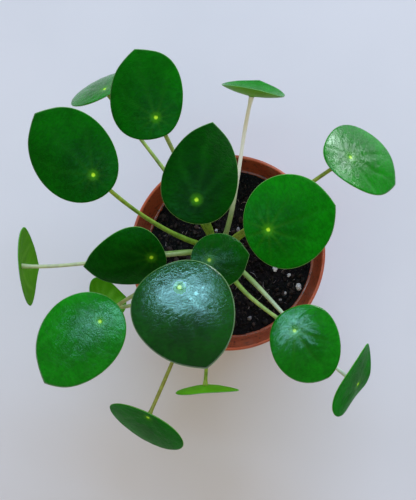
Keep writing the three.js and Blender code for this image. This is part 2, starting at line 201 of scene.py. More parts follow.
def ring_at(angles, radius, z=0):
    """Points round the z axis. radius and z are numbers, or hold one for each angle."""
    return np.stack([radius * np.cos(angles), radius * np.sin(angles), z + 0 * angles], -1)


def skin(rings, start, end):
    """Vertices and faces of a tube through rings of equal size, closed by a point at each end.
    Rings turn counter-clockwise about the way they advance."""
    count = len(rings[0])
    verts = [p for ring in rings for p in ring] + [start, end]
    start_point, end_point = len(verts) - 2, len(verts) - 1
    faces = []
    for k in range(len(rings) - 1):
        a = k * count
        b = a + count
        for i in range(count):
            j = (i + 1) % count
            faces.append((a + i, a + j, b + j, b + i))
    last = (len(rings) - 1) * count
    faces += [(start_point, (i + 1) % count, i) for i in range(count)]
    faces += [(last + i, last + (i + 1) % count, end_point) for i in range(count)]
    return verts, faces


def smooth_noise(points, cell, seed):
    """Smooth noise from -1 to 1 at each point, as a sum of sine waves in drawn directions."""
    rng = np.random.default_rng(seed)
    points = np.asarray(points, float) / cell
    total = np.zeros(points.shape[:-1])
    waves = 9
    for _ in range(waves):
        direction = rng.normal(size=points.shape[-1])
        direction *= TAU * rng.uniform(0.6, 1.4) / np.linalg.norm(direction)
        total += np.sin(points @ direction + rng.uniform(0, TAU))
    return total / math.sqrt(waves * 2)


def layered_noise(points, layers, seed):
    """A sum of smooth noises, one for each cell size and height in layers."""
    return sum(height * smooth_noise(points, cell, seed + number)
               for number, (cell, height) in enumerate(layers))


# ---- Node helpers ------------------------------------------------------------------------------

class Nodes:
    """Short ways to add nodes to the shader tree of a material or of the world."""

    def __init__(self, owner):
        owner.use_nodes = True
        self.owner = owner
        self.tree = owner.node_tree

    def add(self, kind, inputs=None, **settings):
        node = self.tree.nodes.new(kind)
        for key, value in settings.items():
            setattr(node, key, value)
        for key, value in (inputs or {}).items():
            self.put(node.inputs[key], value)
        return node

    def put(self, socket, value):
        if isinstance(value, bpy.types.NodeSocket):
            self.tree.links.new(value, socket)
        else:
            socket.default_value = value

    def attribute(self, name):
        return self.add("ShaderNodeAttribute", attribute_name=name).outputs["Fac"]

    def attributes(self, *names):
        return [self.attribute(name) for name in names]

    def noise(self, scale, detail=4, roughness=0.55, vector=None, stretch=None):
        """Noise in the row frame. scale is in cells per metre."""
        if vector is None:
            vector = self.add("ShaderNodeTexCoord").outputs["Object"]
        if stretch:
            vector = self.add("ShaderNodeMapping", {"Vector": vector, "Scale": stretch}).outputs[0]
        inputs = {"Vector": vector, "Scale": scale, "Detail": detail, "Roughness": roughness}
        return self.add("ShaderNodeTexNoise", inputs).outputs["Fac"]

    def math(self, operation, a, b=0.0):
        return self.add("ShaderNodeMath", {0: a, 1: b}, operation=operation).outputs[0]

    def plus(self, a, b):
        return self.math("ADD", a, b)

    def times(self, a, b):
        return self.math("MULTIPLY", a, b)

    def range(self, value, low, high, to_low=0.0, to_high=1.0):
        """A smooth step from to_low to to_high as value goes from low to high."""
        inputs = {
            "Value": value, "From Min": low, "From Max": high, "To Min": to_low, "To Max": to_high,
        }
        node = self.add("ShaderNodeMapRange", inputs, interpolation_type="SMOOTHSTEP")
        return node.outputs[0]

    def mix(self, share, a, b):
        """Colour a where share is 0, b where it is 1."""
        node = self.add("ShaderNodeMix", {"Factor": share}, data_type="RGBA")
        for socket, colour in ((node.inputs[6], a), (node.inputs[7], b)):
            self.put(socket, colour if isinstance(colour, bpy.types.NodeSocket) else (*colour, 1))
        return node.outputs[2]

    def lay(self, base, colour, mask, strength):
        """The base with colour laid over it where the mask is, at the given strength."""
        return self.mix(self.times(mask, strength), base, colour)

    def bump(self, height, strength, distance):
        inputs = {"Height": height, "Strength": strength, "Distance": distance}
        return self.add("ShaderNodeBump", inputs).outputs["Normal"]

    def finish(self, colour, roughness, normal=None, **uniform):
        """Connects the look to the shader, sets its uniform values and gives the material."""
        shader = self.tree.nodes["Principled BSDF"]
        self.put(shader.inputs["Base Color"], colour)
        self.put(shader.inputs["Roughness"], roughness)
        if normal is not None:
            self.put(shader.inputs["Normal"], normal)
        for key, value in uniform.items():
            shader.inputs[key.replace("_", " ")].default_value = value
        return self.owner


def material_nodes(name):
    return Nodes(bpy.data.materials.new(name))


# ---- Materials ---------------------------------------------------------------------------------

# Per sheen: roughness range, bump strength, and the shader's uniform values.
SHEENS = {
    "glossy": ((0.20, 0.27), 0.14, dict(IOR=1.65, Specular_IOR_Level=0.7, Coat_Weight=0.4,
                                        Coat_Roughness=0.21, Coat_IOR=1.5)),
    "waxed": ((0.20, 0.26), 0.10, dict(IOR=1.45, Coat_Weight=0.1, Coat_Roughness=0.22)),
    "satin": ((0.22, 0.32), 0.16, dict(IOR=1.4, Coat_Weight=0.08, Coat_Roughness=0.25)),
    "soft": ((0.26, 0.36), 0.2, dict(IOR=1.4, Specular_IOR_Level=0.22)),
    "matt": ((0.34, 0.46), 0.24, dict(IOR=1.4, Specular_IOR_Level=0.05)),
}


def blade_material(sheen):
    """Thick waxy leaf: deep green above, with painted shade about the middle and painted light
    toward the margin, painted shade and light along fine creases, a yellow-green navel and a
    thin pale margin; paler below, and brightened there with painted light shining through.
    Young leaves are glossier, old ones nearly matt."""
    blur, relief, shine = SHEENS[sheen]
    n = material_nodes("leaf_blade_" + sheen)
    top, vein, rim, navel, tone, spokes = n.attributes(
        "top", "vein", "rim", "navel", "tone", "spokes")
    blotch = n.noise(55, 3)
    fine = n.noise(700, 4, 0.6)

    # fine creases: the lines where a noise in the blade's own plane passes its middle value
    plane = n.add("ShaderNodeCombineXYZ", {
        "X": n.times(n.attribute("blade_u"), 0.0013),
        "Y": n.times(n.attribute("blade_v"), 0.0007),
        "Z": tone,
    }).outputs[0]
    ripple = n.noise(300, 4, 0.6, plane)
    crease = n.math("ABSOLUTE", n.math("SUBTRACT", ripple, 0.5))

    dark = n.mix(tone, (0.0004, 0.016, 0.0003), (0.0015, 0.13, 0.0010))
    light = n.mix(tone, (0.0008, 0.056, 0.0005), (0.004, 0.31, 0.003))
    # painted shade about the middle and painted light toward the margin, mixed with random
    # blotches
    share = n.plus(n.times(n.range(blotch, 0.35, 0.7), 0.45),
                   n.times(n.range(rim, 0.25, 0.95), 0.55))
    over = n.mix(share, dark, light)
    over = n.lay(over, light, n.range(fine, 0.4, 0.7), 0.3)
    over = n.lay(over, dark, n.range(n.noise(260, 4, 0.6), 0.45, 0.7), 0.4)
    # painted shade in the fine creases, and painted light just beside them
    over = n.lay(over, dark, n.range(crease, 0.05, 0.0), 0.4)
    over = n.lay(over, light, n.range(crease, 0.07, 0.16), 0.2)
    over = n.lay(over, (0.014, 0.20, 0.008), vein, 0.10)
    over = n.lay(over, (0.12, 0.38, 0.01), spokes, 0.4)

    # the under side's own paler green, made brighter with painted light shining through the blade
    under = n.mix(n.times(tone, n.range(blotch, 0.3, 0.7, 0.75, 1.1)),
                  (0.022, 0.15, 0.002), (0.13, 0.48, 0.008))
    under = n.lay(under, (0.20, 0.52, 0.05), vein, 0.35)

    colour = n.mix(top, under, over)
    margin = n.range(rim, 0.984, 1.0)
    colour = n.lay(colour, (0.24, 0.52, 0.12), margin, 0.85)
    ragged = n.plus(navel, n.times(n.noise(900, 3), 0.8))  # distance from the navel, roughened
    halo = n.range(ragged, 4.6, 1.2)
    colour = n.lay(colour, (0.07, 0.36, 0.004), halo, 0.45)
    dot = n.range(ragged, 1.75, 0.9)
    colour = n.mix(dot, colour, (0.46, 0.85, 0.03))

    roughness = n.range(n.noise(200, 4), 0.3, 0.75, *blur)
    matt_below = n.times(n.math("SUBTRACT", 1.0, top), 0.3)
    roughness = n.plus(roughness, matt_below)
    height = n.plus(n.range(crease, 0.0, 0.09), n.times(n.noise(480, 3, 0.5), 0.7))
    return n.finish(colour, roughness, n.bump(height, relief, 0.0005), **shine)


def stalk_material():
    """Smooth juicy stalk, yellow-green, browner or whiter where the attributes say so.
    The whitening toward the blade is partly the stalk's own pale colour, partly painted light.
    """
    n = material_nodes("leaf_stalk")
    along, brown, pale = n.attributes("along", "brown", "pale")
    streaks = n.noise(240, 4, 0.6)
    green = n.mix(n.range(along, 0.0, 1.0), (0.20, 0.36, 0.03), (0.36, 0.51, 0.06))
    green = n.mix(n.range(streaks, 0.35, 0.7), green, (0.13, 0.26, 0.02))
    # the whitening: partly the stalk's own pale colour, partly painted light toward the blade
    colour = n.mix(pale, green, (0.95, 0.97, 0.84))
    colour = n.lay(colour, (0.27, 0.22, 0.045), brown, n.range(streaks, 0.25, 0.75, 0.6, 1.0))
    normal = n.bump(n.noise(900, 3), 0.12, 0.0004)
    return n.finish(colour, n.range(streaks, 0.3, 0.7, 0.32, 0.45), normal, IOR=1.4,
                    Specular_IOR_Level=0.3)


def stem_material():
    """Corky brown stem over green, with darker leaf scars."""
    n = material_nodes("stem_bark")
    scar, up = n.attributes("scar", "up")
    cork = n.noise(420, 6, 0.65)
    colour = n.mix(n.range(cork, 0.35, 0.7), (0.10, 0.065, 0.03), (0.24, 0.19, 0.085))
    colour = n.lay(colour, (0.045, 0.028, 0.014), scar, 0.6)
    colour = n.mix(n.range(up, 0.55, 1.0), colour, (0.15, 0.26, 0.04))
    normal = n.bump(n.noise(700, 6, 0.7), 0.5, 0.0006)
    return n.finish(colour, n.range(cork, 0.3, 0.7, 0.5, 0.8), normal)


def pot_material():
    """Terracotta-coloured moulded plastic, dusty, with dried water marks inside the collar;
    the inner wall is darkened with painted shade.
    """
    n = material_nodes("pot_plastic")
    inside = n.attribute("inside")
    cloud = n.noise(38, 5, 0.6)
    streak = n.noise(120, 5, 0.6, stretch=(1, 1, 0.25))
    specks = n.noise(1400, 3, 0.7)
    colour = n.mix(n.range(cloud, 0.3, 0.7), (0.48, 0.084, 0.031), (0.64, 0.135, 0.052))
    colour = n.lay(colour, (0.16, 0.042, 0.022), n.range(specks, 0.58, 0.68), 0.35)
    # painted shade: the inner wall darkened, as under the rim
    colour = n.lay(colour, (0.13, 0.026, 0.011), inside, 0.4)
    dust = n.range(streak, 0.5, 0.75)
    colour = n.lay(colour, (0.42, 0.25, 0.17), dust, n.range(inside, 0, 1, 0.12, 0.3))
    salt = n.range(n.noise(1100, 3, 0.6), 0.64, 0.70)
    colour = n.lay(colour, (0.62, 0.48, 0.42), salt, 0.35)
    dirt = n.times(n.range(n.noise(420, 5, 0.7), 0.54, 0.62), inside)
    colour = n.lay(colour, (0.020, 0.010, 0.008), dirt, 0.8)
    height = n.plus(n.times(specks, 0.4), n.noise(300, 4))
    normal = n.bump(height, 0.12, 0.0005)
    return n.finish(colour, n.range(streak, 0.3, 0.7, 0.34, 0.55), normal, IOR=1.5)


def soil_material():
    """Moist dark peat with paler crumbs and small painted glints."""
    n = material_nodes("potting_soil")
    coarse = n.noise(330, 6, 0.7)
    fine = n.noise(1500, 5, 0.75)
    colour = n.mix(n.range(coarse, 0.35, 0.7), (0.0046, 0.0028, 0.0038), (0.015, 0.010, 0.0105))
    colour = n.lay(colour, (0.060, 0.040, 0.036), n.range(fine, 0.58, 0.72), 0.6)
    # painted glints: pale specks in the colour that stand in for highlights on wet soil
    painted_glint = n.range(n.noise(1300, 3, 0.6), 0.665, 0.71)
    colour = n.lay(colour, (0.30, 0.25, 0.26), painted_glint, 0.7)
    normal = n.bump(n.plus(coarse, n.times(fine, 0.6)), 0.9, 0.0015)
    return n.finish(colour, n.range(fine, 0.3, 0.7, 0.5, 0.85), normal, Specular_IOR_Level=0.2)


def crumb_material():
    """Peat, bark and fibres, each with its own shade: 0 dark, 1 brown, 2 pale."""
    n = material_nodes("soil_crumb")
    shade = n.attribute("shade")
    grain = n.noise(1700, 5, 0.7)
    colour = n.mix(shade, (0.0045, 0.0033, 0.0040), (0.085, 0.050, 0.038))
    colour = n.lay(colour, (0.012, 0.009, 0.009), n.range(grain, 0.4, 0.7), 0.4)
    normal = n.bump(grain, 0.7, 0.0008)
    colour = n.mix(n.range(shade, 1.0, 2.0), colour, (0.42, 0.36, 0.33))
    return n.finish(colour, n.range(grain, 0.3, 0.7, 0.4, 0.8), normal, Specular_IOR_Level=0.3)


def perlite_material():
    """White expanded perlite, pitted, with some grains greyer than others."""
    n = material_nodes("perlite")
    shade = n.attribute("shade")
    pits = n.noise(1600, 6, 0.7)
    colour = n.mix(n.range(pits, 0.35, 0.6), (0.42, 0.38, 0.34), (0.86, 0.84, 0.80))
    colour = n.mix(shade, colour, (0.19, 0.17, 0.17))
    normal = n.bump(pits, 0.8, 0.0008)
    return n.finish(colour, n.range(pits, 0.3, 0.7, 0.8, 0.95), normal)


def floor_material():
    """Plain pale board with the faintest mottling."""
    n = material_nodes("pale_floor")
    cloud = n.noise(6, 3)
    colour = n.mix(n.range(cloud, 0.3, 0.7), (0.67, 0.68, 0.70), (0.70, 0.71, 0.73))
    return n.finish(colour, n.range(cloud, 0.3, 0.7, 0.55, 0.62))


# ---- Leaf --------------------------------------------------------------------------------------

MAIN_VEINS = (0, 39, -39)  # degrees from the tip
SIDE_VEINS = (72, -72, 104, -104, 140, -140)
BACK_VEIN = 180  # the one that runs straight
VEINS = (*MAIN_VEINS, *SIDE_VEINS, BACK_VEIN)
MAIN_VEIN = dict(width=2.2, depth=0.55, shade=1)
SIDE_VEIN = dict(width=1.6, depth=0.2, shade=0.45)
VEIN_BEND = 0.28  # share of its angle by which a vein has turned to the tip at the margin
VEIN_WIGGLE = 2.0  # degrees
VEIN_SPAN = 80  # degrees to each side within which points are measured from the vein's line
VEIN_ROOT = 3  # distance from the navel at which a vein is full
VEIN_END = 1.02  # share of the radius where a vein has faded out
VEIN_FADE = 0.35
RIB = dict(spacing=6.5, slant=0.75, width=1.1, depth=0.1, shade=0.25)  # the finer veins
PUCKERS = ((8, 0.09), (3.4, 0.035))  # cell and height of the broad and of the fine quilting
CALM_RADIUS = 5  # round the navel, where the relief dies away
SPOKE_WIDTH = 0.8  # pale rays along the veins, round the navel
SPOKE_LENGTH = 6
SPOKE_SPAN = 1.4  # radians to each side of a ray
SPOKE_FAR = 9  # distance given to points outside that span


def blade_form(leaf, rho, t):
    """The CAD blade's middle surface in the leaf's own frame: u to the tip, v left, w up."""
    half_length = (leaf["length"] - leaf["tip"]) / 2
    centre = half_length - leaf["base"]
    cos, sin = np.cos(t), np.sin(t)
    side = np.where(sin >= 0, leaf["left"], leaf["right"])
    reach = rho * BLADE_SHRINK
    taper = np.where(sin >= 0, leaf["taper"][0], leaf["taper"][1])
    from_tip = np.abs(np.arctan2(sin, cos))
    point = leaf["tip"] * np.maximum(0, 1 - from_tip / TIP_SPREAD) ** 2
    u = reach * (centre + half_length * cos + rho * point)
    v = reach * side * sin * (1 - taper * cos)
    half_width = (leaf["left"] + leaf["right"]) / 2
    middle = (leaf["left"] - leaf["right"]) / 2

    def bowl(x, y):
        return ((x - centre) / half_length) ** 2 + ((y - middle) / half_width) ** 2

    soft = FOLD_SOFTNESS * half_width
    dome = leaf["dome"] * (bowl(0, 0) - bowl(u, v))
    fold = -leaf["fold"] * (np.hypot(v, soft) - soft) / half_width
    height, number, phase = leaf["wave"]
    wave = height * rho * rho * np.sin(number * t + phase)
    return u, v, dome + fold + wave


def wrap(degrees):
    """The same angles, from -180 to 180."""
    return (degrees + 180) % 360 - 180


def vein_field(leaf, u, v, rho):
    """Relief in millimetres and vein mask from 0 to 1 at points of the blade."""
    r = np.hypot(u, v)
    angle = np.degrees(np.arctan2(v, u))
    relief = np.zeros_like(u)
    mask = np.zeros_like(u)
    for number, turn in enumerate(VEINS):
        vein = MAIN_VEIN if turn in MAIN_VEINS else SIDE_VEIN
        bend = 0 if turn == BACK_VEIN else -VEIN_BEND * turn * rho ** 1.5
        wiggle = VEIN_WIGGLE * np.sin(r / 3.1 + 1.7 * number)
        off = wrap(angle - turn - bend - wiggle)
        across = r * np.abs(np.sin(np.radians(off)))
        distance = np.where(np.abs(off) < VEIN_SPAN, across, r)
        line = bell(distance, vein["width"] * (1.15 - 0.5 * rho)) * ramp(r, VEIN_ROOT)
        fade = ramp(VEIN_END - rho, VEIN_FADE)
        relief -= vein["depth"] * line * fade
        mask = np.maximum(mask, line * fade * vein["shade"])

    # finer veins leave the midrib in pairs
    lag = (u - RIB["slant"] * np.abs(v)) / RIB["spacing"]
    distance = np.abs(lag - np.round(lag)) * RIB["spacing"]
    ribs = bell(distance, RIB["width"]) * ramp(u - 3, 6)
    ribs *= ramp(1 - rho, 0.3) * ramp(np.abs(v), 3)
    relief -= RIB["depth"] * ribs
    mask = np.maximum(mask, RIB["shade"] * ribs)

    seed = int(leaf["heading"]) % 97 + 5
    quilt = layered_noise(np.stack([u, v], -1), PUCKERS, seed)
    relief = relief * leaf["veins"] + quilt * leaf["quilt"]
    return relief * (1 - bell(r, CALM_RADIUS)), mask


def spoke_field(u, v):
    """Mask of the pale rays that leave the navel along the veins."""
    r = np.hypot(u, v)
    angle = np.degrees(np.arctan2(v, u))
    spokes = np.zeros_like(u)
    for turn in VEINS:
        off = np.radians(wrap(angle - turn))
        distance = np.where(np.abs(off) < SPOKE_SPAN, r * np.abs(np.sin(off)), SPOKE_FAR)
        spokes = np.maximum(spokes, bell(distance, SPOKE_WIDTH) * np.exp(-r / SPOKE_LENGTH))
    return spokes


def leaf_turn(leaf):
    """Rotation from the leaf's own frame to the row frame."""
    angles = (math.radians(leaf[k]) for k in ("roll", "pitch", "heading"))
    return np.array(Euler(tuple(angles), "XYZ").to_matrix())


def blade_faces():
    """Faces of a blade's upper side, then of its under side. Both share the upper side's rim."""
    per_side = 1 + BLADE_RINGS * BLADE_SECTORS

    def vertex(side, ring, i):
        if ring == BLADE_RINGS - 1:
            side = 0
        return side * per_side + 1 + ring * BLADE_SECTORS + i % BLADE_SECTORS

    faces = []
    for side in (0, 1):
        for i in range(BLADE_SECTORS):
            wedge = [(side * per_side, vertex(side, 0, i), vertex(side, 0, i + 1))]
            wedge += [
                (vertex(side, ring, i), vertex(side, ring + 1, i),
                 vertex(side, ring + 1, i + 1), vertex(side, ring, i + 1))
                for ring in range(BLADE_RINGS - 1)
            ]
            faces += [face[::-1] for face in wedge] if side else wedge
    return faces


def make_blade(leaf, name, material):
    """One blade, closed at its rounded rim, with what its material reads as attributes."""
    radii = np.linspace(0, 1, BLADE_RINGS + 1)[1:] ** RING_CROWDING
    rho, t = np.meshgrid(radii, round_angles(BLADE_SECTORS), indexing="ij")
    u, v, w = blade_form(leaf, rho, t)
    r = np.hypot(u, v)
    relief, veins = vein_field(leaf, u, v, rho)
    dimple = -NAVEL_DIP * bell(r, NAVEL_RADIUS)
    half = BLADE_HALF * np.sqrt(1 - ramp(rho - EDGE_START, EDGE_WIDTH) ** 2)
    turn = leaf_turn(leaf)
    navel = np.array(leaf["navel"], float)

    def place(x, y, up):
        return np.stack([x, y, up], -1).reshape(-1, 3) @ turn.T + navel

    verts = np.vstack([
        place(0, 0, BLADE_HALF - NAVEL_DIP),
        place(u, v, w + relief + dimple + half),
        place(0, 0, -BLADE_HALF - NAVEL_DIP),
        place(u, v, w + UNDER_RELIEF * relief + dimple - half),
    ])
    per_side = len(verts) // 2
    rim = slice(per_side - BLADE_SECTORS, per_side)
    kept = len(verts) - BLADE_SECTORS  # the under side's rim comes last and joins the upper one
    verts[rim] = (verts[rim] + verts[kept:]) / 2
    verts = verts[:kept]
    verts[:, 2] = np.minimum(verts[:, 2], BLADE_CEILING)
    piece = new_piece(name, verts, blade_faces(), material, (name,))

    def both_sides(values):
        return np.concatenate([[0], values.ravel(), [0], values.ravel()])[:kept]

    for key, values in (
        ("vein", both_sides(veins)),
        ("rim", both_sides(rho)),
        ("navel", both_sides(r)),
        ("blade_u", both_sides(u)),
        ("blade_v", both_sides(v)),
        ("tone", np.full(kept, leaf["tone"])),
        ("spokes", both_sides(spoke_field(u, v) * leaf["veins"])),
        ("top", np.arange(kept) < per_side),
    ):
        set_attribute(piece, key, values)


def stem_axis(z):
    """A point of the stem's slightly leaning middle line."""
    bend = math.sin((z - STEM["foot"]) / STEM["lean_length"])
    return np.array([STEM["x"] + STEM["lean"][0] * bend, STEM["y"] + STEM["lean"][1] * bend, z])


def stalk_path(leaf):
    """Control points of the stalk's cubic curve, from the stem to the blade, with three
    directions: out from the stem, to the left of that, and up through the blade."""
    height, lift, bow, meet = leaf["stalk"]
    normal = leaf_turn(leaf)[:, 2]
    end = np.array(leaf["navel"], float) - normal * STALK["end_inset"]
    axis = stem_axis(height)
    out = unit(np.array([end[0] - axis[0], end[1] - axis[1], 0]))
    left = np.array([-out[1], out[0], 0])
    foot = axis + out * (STEM["radius"] + STEM["scar_relief"] + STALK["foot_gap"])
    span = np.linalg.norm(end - foot)
    rise = unit(np.array([out[0], out[1], math.tan(math.radians(lift))]))
    first = foot + STALK["foot_reach"] * span * rise + bow[0] * left
    arrival = unit((1 - meet) * unit(end - first) + meet * normal)
    second = end - STALK["end_reach"] * span * arrival + bow[1] * left
    return (foot, first, second, end), (out, left, normal)


def stalk_radius(share):
    """Thick foot, slender middle, and a small flare under the blade."""
    slim = 1.15 + 0.75 * (1 - min(1, share / 0.55)) ** 1.3
    foot = 0.7 * math.exp(-((share / 0.035) ** 2))
    flare = 0.45 * math.exp(-(((1 - share) / 0.03) ** 2))
    return slim + foot + flare


def make_stalk(leaf, name, material):
    (foot, first, second, end), (out, left, normal) = stalk_path(leaf)
    sides, steps = STALK["sides"], STALK["steps"]
    rings, shares = [], []
    for k in range(-1, steps + 2):
        s = min(1, max(0, k / steps))
        q = 1 - s
        centre = q ** 3 * foot + 3 * q * q * s * first + 3 * q * s * s * second + s ** 3 * end
        along = unit(3 * q * q * (first - foot) + 6 * q * s * (second - first)
                     + 3 * s * s * (end - second))
        if k < 0:
            centre = centre - out * STALK["foot_sunk"]
        if k > steps:
            centre = centre + normal * STALK["end_sunk"]
        up = unit(np.cross(left, along)) * -1
        side = unit(np.cross(up, along))
        facing = out if k <= 0 else normal if k >= steps else along  # the way the ring faces
        radius = stalk_radius(s)
        radius *= 1 + STALK["ripple"] * math.sin(STALK["ripple_turns"] * s + leaf["heading"])
        ring = []
        for i in range(sides):
            angle = i * TAU / sides
            flat = STALK["channel"] if math.sin(angle) > 0 else 1.0
            arm = radius * (math.cos(angle) * side + flat * math.sin(angle) * up)
            arm = arm - along * (arm @ facing) / (along @ facing)
            ring.append(centre + arm)
        rings.append(ring)
        shares.append(s)
    verts, faces = skin(rings, np.mean(rings[0], 0), np.mean(rings[-1], 0))
    piece = new_piece(name, verts, faces, material, (name,))
    shares = np.concatenate([np.repeat(shares, sides), [0, 1]])
    set_attribute(piece, "along", shares)
    set_attribute(piece, "brown", leaf["brown"] * (0.55 + 0.45 * shares))
    # paler toward the blade: partly the stalk's own colour, partly painted light
    set_attribute(piece, "pale", leaf["pale"] * np.clip((shares - 0.15) / 0.4, 0.15, 1))


# ---- Stem --------------------------------------------------------------------------------------

def make_stem(material):
    sides = STEM["sides"]
    angles = round_angles(sides)
    rings, scars, ups = [], [], []
    for z in np.arange(STEM["foot"], STEM["top"] + 0.01, STEM["step"]):
        scar = math.cos(TAU * z / STEM["scar_spacing"])  # 1 at a leaf scar, -1 between two
        rough = STEM["roughness"] * smooth_noise(ring_at(angles, 1, z / 6.0), 0.8, 11)
        radius = STEM["radius"] + STEM["scar_relief"] * scar + rough - 0.1
        rings.append(stem_axis(z) + ring_at(angles, radius))
        scars += [max(0.0, scar) ** 6] * sides
        ups += [(z - SOIL_TOP) / (STEM["top"] - SOIL_TOP)] * sides
    for k in range(1, STEM["bud_steps"]):
        share = k / STEM["bud_steps"]
        lobes = 1 + STEM["bud_lobes"] * np.cos(3 * angles + 2.5 * share)
        radius = STEM["radius"] * STEM["bud_width"] * math.sqrt(1 - share ** 2) * lobes
        rings.append(stem_axis(STEM["top"] + share * STEM["bud"]) + ring_at(angles, radius))
        scars += [0] * sides
        ups += [1.0] * sides
    verts, faces = skin(rings, stem_axis(STEM["foot"]), stem_axis(STEM["top"] + STEM["bud"]))
    piece = new_piece("stem", verts, faces, material, ("stem",))
    set_attribute(piece, "scar", scars + [0, 0])
    set_attribute(piece, "up", ups + [0, 1])


# ---- Pot ---------------------------------------------------------------------------------------

COLLAR_FOOT = POT["height"] - POT["collar"]
COLLAR_INNER_TOP = POT["rim"] - POT["lip_overhang"] - POT["wall"] * 0.6
LEDGE_OUTER = COLLAR_INNER_TOP - POT["collar_taper"] - POT["wall"]
BODY_INNER_TOP = LEDGE_OUTER - POT["ledge"]
BODY_INNER_BASE = POT["base"] - POT["wall"]
NEAR_AXIS = 0.01  # a profile ends this far from the axis, where a point closes it


def body_inner_radius(z):
    """Radius of the body's inner wall, below the ledge."""
    share = (z - POT["base_thickness"]) / (COLLAR_FOOT - 1 - POT["base_thickness"])
    return BODY_INNER_BASE + share * (BODY_INNER_TOP - BODY_INNER_BASE)


def arc(cx, cz, radius, start, stop, steps):
    """Points of an arc, angles in degrees from the outward direction."""
    angles = np.radians(np.linspace(start, stop, steps))
    return [(cx + radius * math.cos(a), cz + radius * math.sin(a)) for a in angles]


def pot_profile():
    """Radius and height round the wall: up the outside, over the lip and down the inside."""
    top, rim, base, floor_top = (POT[k] for k in ("height", "rim", "base", "base_thickness"))
    collar_top = rim - POT["lip_overhang"]
    collar_foot = collar_top - POT["collar_taper"]
    body_top = collar_foot - POT["collar_step"]
    lip_foot = top - POT["lip_height"]
    lip, corner = POT["lip_round"], POT["base_round"]
    middle = 40  # a ring about halfway up the inside
    return [
        (NEAR_AXIS, 0),
        *arc(base - corner, corner, corner, -90, -8, 6),
        (body_top - 0.4, COLLAR_FOOT - 3.4),
        (body_top, COLLAR_FOOT - 1.6),
        *arc(collar_foot - 0.8, COLLAR_FOOT - 0.5, 0.8, -80, 8, 5),
        (collar_top - 0.05, lip_foot - 0.8),
        *arc(rim - 0.7, lip_foot + 0.55, 0.7, -80, -5, 4),
        *arc(rim - lip, top - lip, lip, 5, 95, 7),
        *arc(COLLAR_INNER_TOP + 0.9, top - 1.0, 0.9, 100, 175, 5),
        (LEDGE_OUTER + 0.25, COLLAR_FOOT + 2.4),
        *arc(LEDGE_OUTER - 0.6, COLLAR_FOOT + 0.6, 0.6, 0, -85, 4),
        *arc(BODY_INNER_TOP + 0.5, COLLAR_FOOT - 0.5, 0.5, 95, 178, 4),
        (body_inner_radius(middle), middle),
        *arc(BODY_INNER_BASE - 0.9, floor_top + 0.9, 0.9, -5, -85, 4),
        (NEAR_AXIS, floor_top),
    ]


def drain(piece):
    """Cuts the ring of drainage holes out of the pot's base. Drills are in metres."""
    drills = []
    for i in range(POT["holes"]):
        angle = (i + 0.5) * TAU / POT["holes"]
        centre = Vector((POT["hole_circle"] * MM * math.cos(angle),
                         POT["hole_circle"] * MM * math.sin(angle), 0))
        bpy.ops.mesh.primitive_cylinder_add(
            vertices=32, radius=POT["hole_radius"] * MM, depth=0.02, location=centre)
        drills.append(bpy.context.object)
        cut = piece.modifiers.new("drain", "BOOLEAN")
        cut.operation = "DIFFERENCE"
        cut.object = drills[-1]
    cut_mesh = bpy.data.meshes.new_from_object(
        piece.evaluated_get(bpy.context.evaluated_depsgraph_get()))
    piece.modifiers.clear()
    piece.data = cut_mesh
    for drill in drills:
        bpy.data.objects.remove(drill)


def make_pot(material):
    angles = round_angles(POT["sides"])
    rings = [ring_at(angles, r, z) for r, z in pot_profile()]
    verts, faces = skin(rings, (0, 0, 0), (0, 0, POT["base_thickness"]))
    piece = new_piece("pot", verts, faces, material, ("pot",))
    drain(piece)
    x, y, z = np.array([v.co for v in piece.data.vertices]).T / MM
    collar_share = (z - COLLAR_FOOT) / POT["collar"]
    collar_wall = LEDGE_OUTER + collar_share * (COLLAR_INNER_TOP - LEDGE_OUTER)
    wall = np.where(z > COLLAR_FOOT - 0.6, collar_wall, body_inner_radius(z))
    on_inner_wall = np.hypot(x, y) < wall + 0.7
    # the inner wall, where the material paints shade and lays dust and dirt
    set_attribute(piece, "inside", on_inner_wall & (z > 20) & (z < POT["height"] - 0.5))
    piece.data.set_sharp_from_angle(angle=math.radians(50))


# ---- Soil --------------------------------------------------------------------------------------

SOIL_GRAIN = ((2.6, 0.35), (1.3, 0.25))  # cell and height of the grain on the CAD's surface
CRUMB_LIFT = 0.35  # how high a crumb's middle lies above the soil, against its size
CRUMB_FLATNESS = 0.8  # a crumb's short axis against the other two
BARE_RADIUS = 6.5  # round the stem, free of crumbs
OCTAHEDRON = ((1, 0, 0), (0, 1, 0), (-1, 0, 0), (0, -1, 0), (0, 0, 1), (0, 0, -1))
OCTAHEDRON_FACES = (
    (0, 1, 4), (1, 2, 4), (2, 3, 4), (3, 0, 4), (1, 0, 5), (2, 1, 5), (3, 2, 5), (0, 3, 5),
)


def soil_relief(x, y):
    """The CAD surface's mounds, clods and crumbs."""
    mounds = 0.8 * np.sin(0.11 * x + 1.2) * np.cos(0.13 * y - 0.4)
    clods = 0.55 * np.sin(0.43 * x + 0.21 * y) * np.sin(0.39 * y - 0.17 * x + 0.9)
    crumbs = 0.3 * np.sin(1.07 * x - 0.6 * y + 2) * np.sin(0.95 * y + 0.5 * x)
    return mounds + clods + crumbs


def soil_height(x, y):
    """The CAD surface with fine grain on it."""
    points = np.stack([np.asarray(x, float), np.asarray(y, float)], -1)
    grain = layered_noise(points, SOIL_GRAIN, 21)
    return SOIL_TOP + soil_relief(points[..., 0], points[..., 1]) + grain


